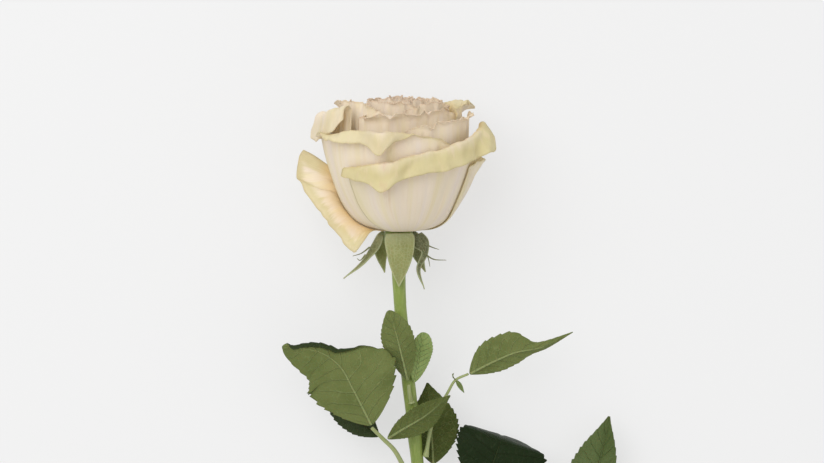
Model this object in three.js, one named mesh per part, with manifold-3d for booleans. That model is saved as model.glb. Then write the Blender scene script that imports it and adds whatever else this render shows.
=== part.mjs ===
// A cut rose lying on a table: one stem with its hip and prickles, five sepals, a full cup of petals
// and five leaves. Millimetres, +Z up from the table, +Y along the stem towards the flower.
import * as THREE from "three";
import { mergeVertices } from "three/addons/utils/BufferGeometryUtils.js";
import Module from "manifold-3d";

// ---- driving dimensions -------------------------------------------------------------------------
const FLOWER_TILT = 7; // degrees that the flower looks up from the table
const HIP_HEIGHT = 31; // height of the petals' base above the table
const BUD_RADIUS = 2.6; // innermost petal's body
const PETAL_THICKNESS = 0.35;
const LEAF_THICKNESS = 0.5;
const SEPAL_THICKNESS = 0.6;
const STEM_RADIUS = { top: 2.9, foot: 3.6 };
const GOLDEN_ANGLE = 137.5; // degrees between one petal and the next
const OUTER_GRID = { columns: 8, cup: 6, wall: 1, rim: 4 }; // how finely a petal bends in each part
const HEART_GRID = { columns: 5, cup: 3, wall: 1, rim: 3 };
const BELLY_SLOPE = 56; // degrees, where a petal's tight bend ends and its slow bend begins
const BELLY_REACH = 0.5; // share of a petal's reach from the hip that its tight bend covers
const BELLY_TURN = 10; // degrees that the tight bend turns through at least
const SHELF = 5; // how far the outermost petals run out from the hip before they bend up
const WIDE_AT = 0.46; // share of its outline at which a petal reaches its full width
const FOOT_WIDTH = 0.42; // share of its full width that a petal has at the hip
const RIM_CLEARANCE = 1.2; // a rim rolls out only this far above the petals around it
const SKYLINE_STEP = 5; // degrees between the directions in which those petals' height is kept

const { degToRad, lerp, clamp, smoothstep } = THREE.MathUtils;
const point = (x, y, z) => new THREE.Vector3(x, y, z);

// ---- materials ----------------------------------------------------------------------------------
const skin = (color, roughness) => new THREE.MeshStandardMaterial({ color, roughness, metalness: 0 });
const MATERIALS = {
  outerPetal: skin(0xded4a4, 0.55),
  petal: skin(0xe8dcc4, 0.55),
  heartPetal: skin(0xdcc1a0, 0.55),
  sepal: skin(0x8a9660, 0.6),
  stem: skin(0x87954a, 0.5),
  leaf: skin(0x5f7440, 0.5),
  stalk: skin(0x959c5c, 0.5),
};

// ---- ways to bend a plain closed solid ------------------------------------------------------------
// Values given at the left edge, the middle and the right edge, joined by a parabola.
function across([left, middle, right], u) {
  return middle + ((right - left) / 2) * u + ((left + right) / 2 - middle) * u * u;
}

function bent(geometry, place) {
  const position = geometry.getAttribute("position");
  for (let i = 0; i < position.count; i++) {
    const p = place(position.getX(i), position.getY(i), position.getZ(i));
    position.setXYZ(i, p.x, p.y, p.z);
  }
  geometry.deleteAttribute("normal");
  geometry.deleteAttribute("uv");
  const merged = mergeVertices(geometry, 1e-4);
  merged.computeVertexNormals();
  return merged;
}

// Splits the squares of a box's last face along the same diagonals as its opposite face, so that the
// two stay parallel when the box is bent.
function matchDiagonals(box) {
  const { start, count } = box.groups[5];
  for (let i = start; i < start + count; i += 6) {
    const [a, b, d, , c] = [0, 1, 2, 3, 4].map((k) => box.index.getX(i + k));
    [a, b, c, a, c, d].forEach((corner, k) => box.index.setX(i + k, corner));
  }
}

// A thin closed sheet on surface(u, v), where u runs from -1 to 1 across and v from 0 to 1 along.
function sheet(surface, columns, rows, thickness) {
  const step = 1e-3;
  const slope = (u, v, du, dv) =>
    surface(clamp(u + du, -1, 1), clamp(v + dv, 0, 1))
      .sub(surface(clamp(u - du, -1, 1), clamp(v - dv, 0, 1)));
  const box = new THREE.BoxGeometry(2, 1, 1, columns, rows, 1);
  matchDiagonals(box);
  return bent(box, (x, y, z) => {
    const v = y + 0.5;
    const normal = slope(x, v, step, 0).cross(slope(x, v, 0, step)).normalize();
    return surface(x, v).addScaledVector(normal, z * thickness);
  });
}

// A round solid along a curve, whose radius is a function of the share of its length.
function rod(points, radiusAt, sides, steps) {
  const curve = new THREE.CatmullRomCurve3(points, false, "centripetal");
  return bent(new THREE.CylinderGeometry(1, 1, 1, sides, steps), (x, y, z) => {
    const along = clamp(y + 0.5, 0, 1);
    const tangent = curve.getTangentAt(along);
    const side = point(0, 0, 1).cross(tangent).normalize();
    const up = tangent.clone().cross(side);
    const radius = radiusAt(along);
    return curve
      .getPointAt(along)
      .addScaledVector(side, z * radius)
      .addScaledVector(up, x * radius);
  });
}

// ---- joining solids -------------------------------------------------------------------------------
const wasm = await Module();
wasm.setup();

function solidOf(geometry) {
  return new wasm.Manifold(
    new wasm.Mesh({
      numProp: 3,
      vertProperties: geometry.getAttribute("position").array,
      triVerts: new Uint32Array(geometry.index.array),
    }),
  );
}

function joined(geometries) {
  const mesh = geometries.map(solidOf).reduce((a, b) => a.add(b)).getMesh();
  const geometry = new THREE.BufferGeometry();
  geometry.setAttribute("position", new THREE.BufferAttribute(new Float32Array(mesh.vertProperties), 3));
  geometry.setIndex(new THREE.BufferAttribute(new Uint32Array(mesh.triVerts), 1));
  geometry.computeVertexNormals();
  return geometry;
}

function piece(name, geometry, material) {
  const mesh = new THREE.Mesh(geometry, material);
  mesh.name = name;
  return mesh;
}

// ---- petals ---------------------------------------------------------------------------------------
// Flower frame: +Z is the flower's axis, azimuth 0 faces the sky (-Y) and 90 degrees is +X.
// A petal leaves the hip, bends up to the cup's wall at its radius and, at the height of its fold,
// its rim rolls outwards for the length of its tail. flare is the slope in degrees that the rim
// ends at: 90 straight up, 0 level, -90 straight down. Triples are left edge, middle, right edge.
// tips lengthen the rim round some u: [u, length, width]. foot is the petal's width at the hip as a
// share, and level makes it leave the hip as if it were that many petals further in.
const OUTER_PETALS = [
  {
    name: "guard_left", azimuth: -80, span: 30, radius: 34.4, roll: 4.7,
    fold: [26.5, 9.5, 3.6], tail: [26, 12.5, 19.5], flare: [30, -34, -56], foot: 1.4, level: 2,
  },
  {
    name: "guard_right", azimuth: 112, span: 46, radius: 37.8, roll: 10,
    fold: [27, 24, 27], tail: [8, 11, 9], flare: [70, 50, 70],
  },
  {
    name: "front", azimuth: 22, span: 62, radius: 36.8, roll: 1.7,
    fold: [30.5, 38, 49], tail: [10, 12.5, 16], flare: [-70, -80, -55], tips: [[-0.5, 5, 0.14]],
  },
  {
    name: "face", azimuth: -18, span: 64, radius: 35.2, roll: 1.7,
    fold: [41, 47, 41], tail: [3.5, 8, 1.5], flare: [80, -75, 60], tips: [[0.1, 6, 0.12], [0.6, -4, 0.25]],
  },
  {
    name: "back_right", azimuth: 168, span: 50, radius: 34, roll: 5,
    fold: [36, 42, 36], tail: [6, 9, 6], flare: [40, 10, 40],
  },
  {
    name: "back_left", azimuth: -142, span: 50, radius: 33.2, roll: 4,
    fold: [38, 43, 36], tail: [6, 6, 3], flare: [30, 60, 88],
  },
  {
    name: "shoulder_left", azimuth: -90, span: 48, radius: 31, roll: 2.6,
    fold: [48, 51, 57], tail: [6, 14.5, 15.5], flare: [-30, -72, -80],
  },
  {
    name: "shoulder_right", azimuth: 46, span: 46, radius: 32, roll: 3,
    fold: [44, 50, 50], tail: [4, 4, 6], flare: [60, 25, 20],
  },
  {
    name: "nape", azimuth: 170, span: 54, radius: 29.6, roll: 3.4,
    fold: [48, 52, 48], tail: [5, 8, 5], flare: [30, 0, 30],
  },
  {
    name: "ear_right", azimuth: 98, span: 40, radius: 28.6, roll: 3.6,
    fold: [50, 52, 51], tail: [6, 10, 9], flare: [40, 8, 15],
  },
  {
    name: "brow", azimuth: 16, span: 56, radius: 27.4, roll: 3.4,
    fold: [50, 52, 50], tail: [5, 6, 5], flare: [35, 15, 30],
  },
  {
    name: "ear_left", azimuth: -64, span: 50, radius: 25.8, roll: 3.4,
    fold: [52, 55, 52], tail: [5, 6, 5], flare: [55, 50, 60],
  },
];
const HEART_PETALS = 14;
const PETAL_COUNT = OUTER_PETALS.length + HEART_PETALS;

// The tighter petals of the heart follow one spiral, each a little straighter than the last.
function heartPetal(n) {
  const depth = n / (HEART_PETALS - 1);
  const fold = lerp(53, 58.5, depth);
  const tail = lerp(7, 3.5, depth);
  const flare = lerp(10, 65, depth);
  return {
    name: `heart_${n + 1}`,
    azimuth: 150 + GOLDEN_ANGLE * n,
    span: lerp(52, 92, depth),
    radius: lerp(24, BUD_RADIUS, Math.pow(depth, 0.85)),
    fold: [fold - 2, fold, fold - 2],
    tail: [tail - 1, tail, tail - 1],
    flare: [flare + 12, flare, flare + 12],
    roll: lerp(3.6, 6, depth),
  };
}

// Where a petal leaves the hip: the outer ones low and wide, the inner ones high on its cone.
function petalRoot(order) {
  const depth = order / (PETAL_COUNT - 1);
  return {
    radius: lerp(8, 1.4, depth),
    height: lerp(0, 13, depth),
    slope: lerp(4, 66, depth ** 1.4),
    shelf: lerp(SHELF, 0, depth),
  };
}

// One arc or straight stretch of a petal's outline in the plane through the flower's axis.
function stretch(from, length, turn) {
  const { r, z, angle } = from;
  if (Math.abs(turn) < 1e-6) {
    return { r: r + Math.cos(angle) * length, z: z + Math.sin(angle) * length, angle };
  }
  const bend = length / turn;
  return {
    r: r + bend * (Math.sin(angle + turn) - Math.sin(angle)),
    z: z - bend * (Math.cos(angle + turn) - Math.cos(angle)),
    angle: angle + turn,
  };
}

// The cup's outline, a shelf, a tight bend and a slow one, measured by length from the hip.
function cupOutline(root, radius) {
  const start = { r: root.radius, z: root.height, angle: degToRad(root.slope) };
  const bend = stretch(start, root.shelf, 0);
  const belly = Math.max(degToRad(BELLY_SLOPE), start.angle + degToRad(BELLY_TURN));
  const tight = (BELLY_REACH * (radius - bend.r)) / (Math.sin(belly) - Math.sin(start.angle));
  const tightLength = root.shelf + tight * (belly - start.angle);
  const middle = stretch(bend, tight * (belly - start.angle), belly - start.angle);
  const slow = (radius - middle.r) / (1 - Math.sin(belly));
  const slowLength = slow * (Math.PI / 2 - belly);
  const top = middle.z + slow * Math.cos(belly);
  const length = tightLength + slowLength;
  return {
    length,
    at(s) {
      if (s < root.shelf) return stretch(start, s, 0);
      if (s < tightLength) return stretch(bend, s - root.shelf, (s - root.shelf) / tight);
      const along = Math.min(s - tightLength, slowLength);
      return stretch(stretch(middle, along, along / slow), Math.max(0, s - length), 0);
    },
    reach(height) {
      if (height >= top) return length + height - top;
      const cosine = clamp(Math.cos(belly) - (height - middle.z) / slow, 0, Math.cos(belly));
      if (height > middle.z) return tightLength + slow * (Math.acos(cosine) - belly);
      return tightLength * clamp((height - start.z) / (middle.z - start.z), 0.2, 1);
    },
  };
}

// The height that the petals made so far reach in every direction round the flower.
const skyline = new Array(360 / SKYLINE_STEP).fill(0);
const positive = (degrees) => ((degrees % 360) + 360) % 360;
const direction = (degrees) => Math.round(positive(degrees) / SKYLINE_STEP) % skyline.length;

function coverIn(heights, degrees) {
  return Math.max(...[-1, 0, 1].map((side) => heights[direction(degrees + side * SKYLINE_STEP)]));
}

function raiseSkyline(surface) {
  for (let u = -1; u <= 1; u += 0.05) {
    for (let v = 0.4; v <= 1; v += 0.1) {
      const p = surface(u, v);
      const bin = direction(THREE.MathUtils.radToDeg(Math.atan2(p.x, -p.y)));
      skyline[bin] = Math.max(skyline[bin], p.z);
    }
  }
}

function petalSurface(petal, order, grid) {
  const { level = order, foot = FOOT_WIDTH } = petal;
  const outline = cupOutline(petalRoot(level), petal.radius);
  const cover = [...skyline];
  const rows = grid.cup + grid.wall + grid.rim;
  return (u, v) => {
    const corner = 1 - 0.3 * Math.pow(Math.abs(u), 6);
    const foldAt = outline.reach(across(petal.fold, u));
    const tail = (petal.tips ?? []).reduce(
      (sum, [middle, extra, width]) => sum + extra * Math.exp(-(((u - middle) / width) ** 2)),
      across(petal.tail, u) * corner,
    );
    const cupEnd = Math.min(outline.length, foldAt) * 0.95;
    const row = v * rows;
    let s = (cupEnd * row) / grid.cup;
    if (row > grid.cup) s = lerp(cupEnd, foldAt, (row - grid.cup) / grid.wall);
    if (row > grid.cup + grid.wall) s = foldAt + (tail * (row - grid.cup - grid.wall)) / grid.rim;

    const width = lerp(foot, 1, Math.sin(Math.min(s / (WIDE_AT * outline.length), 1) * (Math.PI / 2)));
    const azimuth = petal.azimuth + petal.span * u * width;
    const hidden = coverIn(cover, azimuth);
    const rollStart = hidden > 0 ? Math.max(foldAt, outline.reach(hidden + RIM_CLEARANCE)) : foldAt;

    const fold = outline.at(Math.min(s, rollStart));
    const rolled = Math.max(0, s - rollStart);
    const fullTurn = Math.max(0, fold.angle - degToRad(across(petal.flare, u)));
    const rolling = Math.min(rolled, fullTurn * petal.roll);
    const at = stretch(stretch(fold, rolling, -rolling / petal.roll), rolled - rolling, 0);
    const turn = degToRad(azimuth);
    return point(at.r * Math.sin(turn), -at.r * Math.cos(turn), at.z);
  };
}

function petals() {
  const all = [...OUTER_PETALS, ...Array.from({ length: HEART_PETALS }, (_, n) => heartPetal(n))];
  return all.map((petal, order) => {
    const outer = order < OUTER_PETALS.length;
    const grid = outer ? OUTER_GRID : HEART_GRID;
    const surface = petalSurface(petal, order, grid);
    raiseSkyline(surface);
    const material = order < 3 ? MATERIALS.outerPetal : outer ? MATERIALS.petal : MATERIALS.heartPetal;
    const rows = grid.cup + grid.wall + grid.rim;
    return piece(`petal_${petal.name}`, sheet(surface, grid.columns, rows, PETAL_THICKNESS), material);
  });
}

// ---- leaves and sepals ----------------------------------------------------------------------------
// A blade grows along a midrib through its points. face is the way its upper side looks. Its halves
// have their own widths and may fold: fold pairs are degrees at the base and at the tip, positive
// towards the upper side. widest is the share of the midrib where the blade is widest, base its width
// at the foot as a share, and bluntness under 1 makes a round tip. waist narrows its halves:
// [left share, right share, from, to].
function bladeSurface(shape) {
  const { midrib, face, left, right, foldLeft = [0, 0], foldRight = [0, 0] } = shape;
  const { widest = 0.42, base = 0.04, bluntness = 1.15, waist = [0, 0, 0, 1] } = shape;

  const curve = new THREE.CatmullRomCurve3(midrib.map((p) => point(...p)), false, "centripetal");
  const upper = point(...face).normalize();
  return (u, v) => {
    const tangent = curve.getTangentAt(v);
    const side = tangent.clone().cross(upper).normalize();
    const out = side.clone().cross(tangent);
    const growing = Math.sin((clamp(v / widest, 0, 1) * Math.PI) / 2) ** 0.8;
    const narrowing = Math.cos((clamp((v - widest) / (1 - widest), 0, 1) * Math.PI) / 2) ** bluntness;
    const outline = v < widest ? lerp(base, 1, growing) : lerp(0.04, 1, narrowing);
    const pinch = (u < 0 ? waist[0] : waist[1]) * smoothstep(v, waist[2], waist[3]);
    const width = Math.abs(u) * outline * (1 - pinch) * (u < 0 ? left : right);
    const [atBase, atTip] = u < 0 ? foldLeft : foldRight;
    const fold = degToRad(lerp(atBase, atTip, smoothstep(v, 0.3, 0.7)));
    return curve
      .getPointAt(v)
      .addScaledVector(side, Math.sign(u) * width * Math.cos(fold))
      .addScaledVector(out, width * Math.sin(fold));
  };
}

const blade = (name, shape, thickness, material) =>
  piece(name, sheet(bladeSurface(shape), 4, 7, thickness), material);

const LEAFLETS = {
  leaf_left_end: {
    midrib: [[-12.2, -88.6, 31.5], [-20.5, -72, 34.5], [-26.5, -61.5, 36], [-36, -55, 35], [-53, -52.8, 31]],
    face: [0.1, 0.2, -1], left: 22, right: 20, foldLeft: [4, 40], foldRight: [4, 2],
    widest: 0.45, bluntness: 0.65, waist: [0.62, 0, 0.38, 0.62],
  },
  leaf_left_low: {
    midrib: [[-9, -94, 28.5], [-19, -86, 18], [-29, -75, 6], [-36, -64, -1.2]],
    face: [-0.35, -0.1, 1], left: 9.5, right: 11, foldLeft: [8, 5], foldRight: [8, 5],
    widest: 0.5, bluntness: 0.8,
  },
  leaf_left_high: {
    midrib: [[-4.6, -94.8, 31.5], [2, -90.5, 34], [12, -84.5, 34.5], [23.8, -75.2, 31]],
    face: [0, 0.1, -1], left: 6.5, right: 6, foldLeft: [6, 6], foldRight: [6, 6], widest: 0.5,
  },
  leaf_top_end: {
    midrib: [[4.4, -68, 29.8], [1.6, -56, 34], [-1.2, -45, 37], [-4.2, -36, 36]],
    face: [0.15, 0.1, -1], left: 7.6, right: 8, foldLeft: [14, 10], foldRight: [14, 10],
    widest: 0.58, bluntness: 0.7,
  },
  leaf_top_side: {
    midrib: [[7.4, -69.6, 27.6], [9, -61.6, 28.6], [10.2, -54, 29.4], [12.2, -46.4, 29.5]],
    face: [0.3, -0.1, 1], left: 5, right: 6.6, foldLeft: [10, 10], foldRight: [-20, -10],
    widest: 0.6, bluntness: 0.45,
  },
  leaf_right_end: {
    midrib: [[33, -65.2, 29.3], [43.5, -59.6, 32], [54, -55.2, 33], [66, -52.8, 33], [80, -46, 31]],
    face: [0.05, 0.35, -1], left: 6.5, right: 10.5, foldLeft: [10, 24], foldRight: [10, 24], widest: 0.32,
    waist: [0.5, 0.62, 0.45, 0.66],
  },
  leaf_right_bud_1: {
    midrib: [[27.5, -68.8, 28.4], [28.2, -70.4, 28.7], [29.3, -72.3, 28.8], [30.4, -74.2, 28.8]],
    face: [0.3, 0.2, 1], left: 1.1, right: 1.1, widest: 0.4,
  },
  leaf_right_bud_2: {
    midrib: [[25.5, -67.6, 28.5], [25.2, -66.8, 29.4], [25, -66, 30.4], [25.4, -65, 31.2]],
    face: [-1, 0.1, 0.4], left: 0.8, right: 0.8, widest: 0.4,
  },
  leaf_shade_end: {
    midrib: [[16.4, -108, 16.5], [15.6, -94, 14.5], [14.8, -82, 12.8], [13.6, -70.6, 12.4]],
    face: [0.05, 0, -1], left: 13, right: 10, foldLeft: [-8, -8], foldRight: [6, 4], widest: 0.45,
  },
  leaf_low_left: {
    midrib: [
      [39, -122, 17], [41.6, -114, 20], [44.4, -106, 21],
      [47.6, -97, 19.5], [48.4, -95, 13], [48, -95.4, 6],
    ],
    face: [0.2, 0.6, 1], left: 20, right: 23.5, foldLeft: [5, -2], foldRight: [-4, -6], widest: 0.6,
  },
  leaf_low_right: {
    midrib: [[38.5, -130.5, 14.5], [47, -144, 11], [55, -157, 4.5], [62, -170, -1.3]],
    face: [0.1, -0.2, 1], left: 12, right: 12, foldLeft: [5, -5], foldRight: [5, -5], widest: 0.45,
  },
  leaf_low_end: {
    midrib: [[82.5, -134, 12.5], [90, -119, 14], [95, -103, 12.5], [98.6, -86.4, 10]],
    face: [-0.35, 0, 1], left: 13, right: 10, foldLeft: [10, 16], foldRight: [10, 16], widest: 0.42,
  },
};

const SEPALS = {
  sepal_front: {
    midrib: [[0.4, -8.8, 0.4], [0.6, -10.6, -8], [0.4, -9, -16.5], [0.2, -6.4, -24.8]],
    face: [0, -1, 0.1], left: 7.2, right: 6.9, foldLeft: [-16, -5], foldRight: [-16, -5], widest: 0.1,
    base: 0.85,
  },
  sepal_right: {
    midrib: [[8.7, -3.3, -0.9], [12.4, -4, -8.5], [9.4, -4.2, -17], [12, -5, -26]],
    face: [0.5, -1, 0.1], left: 4.6, right: 4.4, foldLeft: [-30, -30], foldRight: [-30, -30], widest: 0.14,
    base: 0.7, waist: [0.55, 0.55, 0.16, 0.36],
  },
  sepal_left: {
    midrib: [[-8.4, -3.2, -0.9], [-12.4, -4.2, -8], [-17, -4.6, -14], [-25.2, -5, -21]],
    face: [-0.6, -0.8, 0.4], left: 2.8, right: 2.8, foldLeft: [-30, -35], foldRight: [-30, -35], widest: 0.2,
    base: 0.6, waist: [0.35, 0.35, 0.2, 0.5],
  },
  sepal_back_left: {
    midrib: [[-5.4, 6.2, -0.9], [-8.6, 8, -7], [-8, 7.6, -13], [-6.6, 6.4, -20]],
    face: [-0.5, 1, 0.1], left: 4.6, right: 4.6, foldLeft: [-20, -10], foldRight: [-20, -10], widest: 0.14,
    base: 0.7,
  },
  sepal_back_right: {
    midrib: [[5.4, 6.2, -0.9], [8.6, 8.4, -7], [9.6, 9.4, -13], [12.6, 10.4, -20]],
    face: [0.5, 1, 0.1], left: 4.6, right: 4.6, foldLeft: [-20, -10], foldRight: [-20, -10], widest: 0.14,
    base: 0.7,
  },
};

// A leaf's stalk leaves the stem's skin at a place along it, on a side turned round it in degrees
// (0 is +X, 90 the sky), then carries its leaflets along its route and tapers.
const STALKS = {
  leaf_left_stalk: {
    from: [-117, 145], route: [[-1.5, -101, 27.5], [-7, -95.2, 29.2], [-12.1, -90, 31.2]], radii: [1.4, 0.9],
  },
  leaf_top_stalk: {
    from: [-79, 85], route: [[5.2, -74, 28.6], [4.9, -70.4, 29.4]], radii: [1.1, 0.8],
  },
  leaf_right_stalk: {
    from: [-104, 20], radii: [1.1, 0.6],
    route: [[16, -88, 22.5], [22.8, -74.4, 26], [26.4, -68.4, 28], [32.4, -65.4, 29.2]],
  },
  leaf_shade_stalk: {
    from: [-134, 10], route: [[17.6, -122, 17.8], [17.4, -114, 17.3], [16.7, -108.8, 16.7]], radii: [1.3, 1],
  },
  leaf_low_stalk: {
    from: [-152, 0], radii: [1.5, 0.8],
    route: [[26, -136, 15.8], [38, -125.6, 15.5], [60, -128.5, 13.5], [82, -134.8, 12.4]],
  },
};
const JOINT_GAP = 0.15; // between a stalk and what it grows from

function leaves() {
  const leaflets = Object.entries(LEAFLETS).map(([name, shape]) =>
    blade(name, shape, LEAF_THICKNESS, MATERIALS.leaf),
  );
  const stalks = Object.entries(STALKS).map(([name, { from: [y, side], route, radii }]) => {
    const foot = onStem(y, side, radii[0] + JOINT_GAP);
    const shape = rod([foot, ...toPoints(route)], (along) => lerp(...radii, along), 7, 6);
    return piece(name, shape, MATERIALS.stalk);
  });
  return [...leaflets, ...stalks];
}

// ---- stem, hip and prickles -----------------------------------------------------------------------
const STEM_ROUTE = [
  [0, -9, 29.9], [0.6, -27, 28], [2.2, -50, 25.6], [4.8, -70, 23.6],
  [8.8, -106, 20], [13.5, -160, 15], [18, -240, 9], [21, -338, STEM_RADIUS.foot + 0.4],
];
const toPoints = (route) => route.map((p) => point(...p));
const stemLine = new THREE.CatmullRomCurve3(toPoints(STEM_ROUTE), false, "centripetal");
const stemRadius = (along) => lerp(STEM_RADIUS.top, STEM_RADIUS.foot, along);

// A place beside the stem, off its skin by a distance, on the side at an angle round it.
function onStem(y, side, distance) {
  let low = 0;
  let high = 1;
  for (let i = 0; i < 20; i++) {
    const middle = (low + high) / 2;
    if (stemLine.getPointAt(middle).y > y) low = middle;
    else high = middle;
  }
  const out = point(Math.cos(degToRad(side)), 0, Math.sin(degToRad(side)));
  return stemLine.getPointAt(low).addScaledVector(out, stemRadius(low) + distance);
}

// Prickles sit at a share of the stem's length, turned round it by an angle in degrees.
const PRICKLES = [[0.4, 200], [0.5, 60], [0.6, 300], [0.68, 130], [0.78, 20], [0.88, 240]];
const PRICKLE = { length: 6, radius: 1.6, lean: 0.45 };

function hip() {
  const outline = [
    [0, -20], [3, -20], [3.3, -15], [5.6, -9], [6.9, -4], [6.6, -1.2],
    [6.2, 0.5], [4, 3.4], [0.9, 8.4], [0, 9],
  ];
  const geometry = new THREE.LatheGeometry(outline.map(([r, z]) => new THREE.Vector2(r, z)), 16);
  return bent(geometry, (x, y, z) => point(x, -z, y)).applyMatrix4(FLOWER_PLACE);
}

function prickle([along, turn]) {
  const tangent = stemLine.getTangentAt(along);
  const side = point(0, 0, 1).cross(tangent).normalize().applyAxisAngle(tangent, degToRad(turn));
  const foot = stemLine.getPointAt(along).addScaledVector(side, STEM_RADIUS.top - 0.6);
  const cone = new THREE.ConeGeometry(PRICKLE.radius, PRICKLE.length, 6, 2);
  return bent(cone, (x, y, z) => {
    const up = y + PRICKLE.length / 2;
    const lean = (PRICKLE.lean * up * up) / PRICKLE.length;
    return foot
      .clone()
      .addScaledVector(side, up)
      .addScaledVector(tangent, z * 1.8 + lean)
      .addScaledVector(side.clone().cross(tangent), x * 0.6);
  });
}

function stem() {
  const shaft = rod(toPoints(STEM_ROUTE), stemRadius, 12, 24);
  return piece("stem", joined([shaft, hip(), ...PRICKLES.map(prickle)]), MATERIALS.stem);
}

// ---- the whole rose -------------------------------------------------------------------------------
const flower = new THREE.Group();
flower.rotation.x = -Math.PI / 2 + degToRad(FLOWER_TILT);
flower.position.set(0.2, 0, HIP_HEIGHT);
flower.updateMatrix();
const FLOWER_PLACE = flower.matrix;
flower.add(...petals());
for (const [name, shape] of Object.entries(SEPALS)) {
  flower.add(blade(name, shape, SEPAL_THICKNESS, MATERIALS.sepal));
}

const rose = new THREE.Group();
rose.add(flower, stem(), ...leaves());

// The origin is the middle of the rose's foot print, on the table.
const box = new THREE.Box3().setFromObject(rose, true);
rose.position.set(-(box.min.x + box.max.x) / 2, -(box.min.y + box.max.y) / 2, -box.min.z);

export default rose;
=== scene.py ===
"""Builds the looks of a cut rose lying on a pale table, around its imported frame.

Lengths in the tables below are millimetres from the flower's base, as the maker measured them, and
MM turns them to metres. The flower looks along +Y, the sky is +Z and the stem runs towards -Y.
"""

import math

import bpy
import numpy as np
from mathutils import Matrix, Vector


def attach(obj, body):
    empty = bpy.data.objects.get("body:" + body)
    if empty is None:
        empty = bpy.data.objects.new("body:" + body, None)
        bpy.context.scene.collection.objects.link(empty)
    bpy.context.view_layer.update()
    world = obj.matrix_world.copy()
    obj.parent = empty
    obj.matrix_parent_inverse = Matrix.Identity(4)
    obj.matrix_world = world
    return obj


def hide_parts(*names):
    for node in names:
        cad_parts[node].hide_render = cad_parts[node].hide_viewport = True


bl_info = {
    "name": "Cut rose",
    "version": (1, 0, 0),
    "blender": (4, 5, 0),
    "location": "View3D > Sidebar > Rose",
    "description": "Petals, leaves and stem of a cut rose around its frame",
    "category": "Add Mesh",
}

MM = 0.001

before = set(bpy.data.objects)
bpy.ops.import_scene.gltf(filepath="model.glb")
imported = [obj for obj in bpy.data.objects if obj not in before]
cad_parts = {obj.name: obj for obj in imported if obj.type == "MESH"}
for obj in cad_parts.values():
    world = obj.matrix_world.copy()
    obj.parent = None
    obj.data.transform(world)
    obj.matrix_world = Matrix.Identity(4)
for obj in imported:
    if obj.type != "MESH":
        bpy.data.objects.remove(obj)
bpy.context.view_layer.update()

# ---- where the flower sits ----
FLOWER_TILT = math.radians(7)  # the flower looks up from the table
FLOWER_AXIS = np.array([0, math.cos(FLOWER_TILT), math.sin(FLOWER_TILT)])
FLOWER_UP = np.array([0, -math.sin(FLOWER_TILT), math.cos(FLOWER_TILT)])
FLOWER_FRAME = np.array([[1, 0, 0], -FLOWER_UP, FLOWER_AXIS])
HIP_TOP = 9 * MM  # the hip's cone ends this far above the petals' base
HIP_PLACE = np.array([0.2, 0, 31]) * MM  # the petals' base, from the origin of the tables
# the hip's tip is the end of the stem's node that is furthest along +Y
HIP_TIP = max((v.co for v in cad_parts["stem"].data.vertices), key=lambda co: co.y)
PETAL_BASE = np.array(HIP_TIP) - FLOWER_AXIS * HIP_TOP
ORIGIN = PETAL_BASE - HIP_PLACE


# ---- sizes and colours that a user would change ----
def colour(name, description, default):
    return bpy.props.FloatVectorProperty(
        name=name, description=description, subtype="COLOR", size=3, min=0, max=1, default=default
    )


def length(name, description, default):
    return bpy.props.FloatProperty(
        name=name, description=description, unit="LENGTH", subtype="DISTANCE", default=default, precision=5
    )


def number(name, description, default, unit="NONE"):
    return bpy.props.FloatProperty(name=name, description=description, unit=unit, default=default, min=0)


class RoseFlowerSettings(bpy.types.PropertyGroup):
    """Petals and sepals."""

    petal_thickness: length("Petal thickness", "How thick a petal is", 0.34 * MM)
    sepal_thickness: length("Sepal thickness", "How thick a sepal is", 0.6 * MM)
    ruffle: length("Ruffle", "How far the rims wave in and out", 0.75 * MM)
    nicks: length("Nicks", "How uneven the rims are", 0.45 * MM)
    sway: length("Sway", "How far the whole cup bulges and dips", 0.55 * MM)
    cream: colour("Cream", "Body of the petals", (0.99, 0.9, 0.73))
    shade: colour("Shade", "Cooler patches of the petals", (0.96, 0.84, 0.72))
    vein: colour("Vein", "Fine darker lines along the petals", (0.9, 0.77, 0.6))
    lilac: colour("Lilac", "Cool pale streaks of the petals", (0.97, 0.885, 0.8))
    butter: colour("Butter", "Warm streaks of the petals", (0.96, 0.87, 0.6))
    lime: colour("Lime", "Yellow-green of the turned rims", (0.76, 0.71, 0.37))
    blush: colour("Blush", "Peach pink of the heart's rims", (0.98, 0.86, 0.73))
    moss: colour("Moss", "Darker patches and edges of the turned rims", (0.6, 0.54, 0.24))
    rust: colour("Rust", "Finest edges of the heart's petals", (0.7, 0.47, 0.33))
    glow: colour("Glow", "Light that comes through the petals", (0.99, 0.9, 0.76))
    # painted shade: a warm amber painted into the creases and deep in the cup, where shade falls and light
    # comes through the petals
    crease_shade: colour("Amber", "Deep creases", (0.8, 0.55, 0.22))
    sepal_green: colour("Sepal green", "Sepals", (0.27, 0.28, 0.09))
    sepal_edge: colour("Sepal edge", "Pale margins of the sepals", (0.5, 0.53, 0.3))


class RoseLeafSettings(bpy.types.PropertyGroup):
    """Leaflets and their stalks."""

    thickness: length("Leaf thickness", "How thick a leaflet is", 0.42 * MM)
    tooth: number("Tooth", "Depth of the leaf teeth as a share of the half width", 0.075)
    dark_top: colour("Dark top", "Upper face of a leaflet in the shade", (0.006, 0.016, 0.003))
    bright_top: colour("Bright top", "Upper face of a leaflet in the light", (0.27, 0.35, 0.12))
    dark_under: colour("Dark underside", "Lower face of a leaflet in the shade", (0.045, 0.062, 0.008))
    bright_under: colour("Bright underside", "Lower face of a leaflet in the light", (0.185, 0.218, 0.072))
    vein: colour("Vein", "Veins and midribs", (0.33, 0.38, 0.16))
    stalk_green: colour("Stalk green", "Leaf stalks", (0.3, 0.345, 0.14))


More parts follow.
